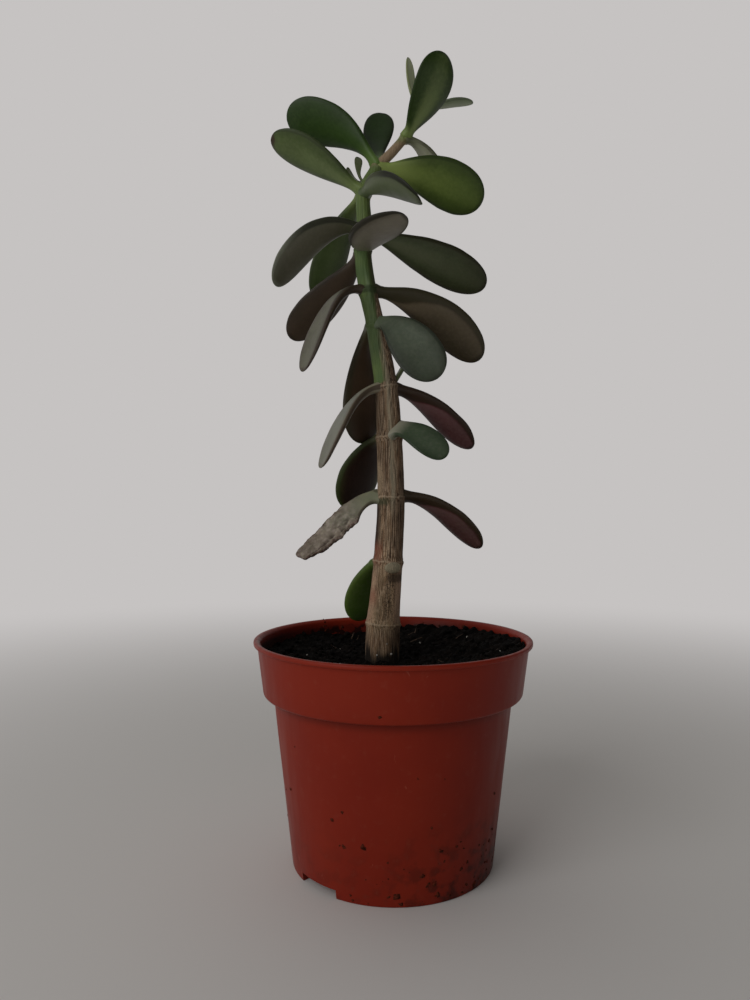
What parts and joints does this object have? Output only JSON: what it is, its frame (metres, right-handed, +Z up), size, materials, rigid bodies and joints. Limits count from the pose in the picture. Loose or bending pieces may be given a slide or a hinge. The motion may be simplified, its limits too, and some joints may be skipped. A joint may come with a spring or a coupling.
{
  "type": "potted jade plant",
  "caption": "Young single-stemmed jade plant with flat oval succulent leaves in opposite pairs, standing in a round plastic nursery pot filled with soil; rests on a flat foot ring.",
  "frame": {"origin": "on the pot's axis, in the plane the foot ring stands on", "axes": "+Z up along the pot's axis, +X to the plant's right and +Y away from its front, seen as it is displayed; the shoot leans towards +X"},
  "size_m": [0.12, 0.12, 0.354],
  "materials": {
    "pot_plastic": "smooth satin moulded plastic",
    "soil": "rough crumbly peat with white perlite",
    "stem": "dull bark below, smooth green skin above",
    "old_leaf": "waxy with a grey bloom",
    "young_leaf": "waxy, softly glossy",
    "young_shoot": "waxy, softly glossy"
  },
  "bodies": {
    "root": {"pot": "pot_plastic", "soil": "soil", "stem": "stem", "leaf_1_back": "old_leaf", "leaf_2_left": "old_leaf", "leaf_2_right": "old_leaf", "leaf_3_back": "old_leaf", "leaf_3_front": "old_leaf", "leaf_4_left": "old_leaf", "leaf_4_right": "old_leaf", "leaf_4_young": "old_leaf", "leaf_5_back": "old_leaf", "leaf_5_front": "old_leaf", "leaf_6_left": "old_leaf", "leaf_6_right": "old_leaf", "leaf_7_back": "young_leaf", "leaf_7_front": "young_leaf", "leaf_8_left": "young_leaf", "leaf_8_right": "young_leaf", "leaf_9_back": "young_leaf", "leaf_9_front": "young_leaf", "leaf_9_left": "young_leaf", "shoot_9": "young_shoot", "leaf_10_left": "young_leaf", "leaf_10_back": "young_leaf", "leaf_10_right": "young_leaf", "leaf_11_front": "young_leaf", "leaf_11_back": "young_leaf", "leaf_12_left": "young_leaf", "leaf_12_right": "young_leaf"}
  },
  "joints": []
}
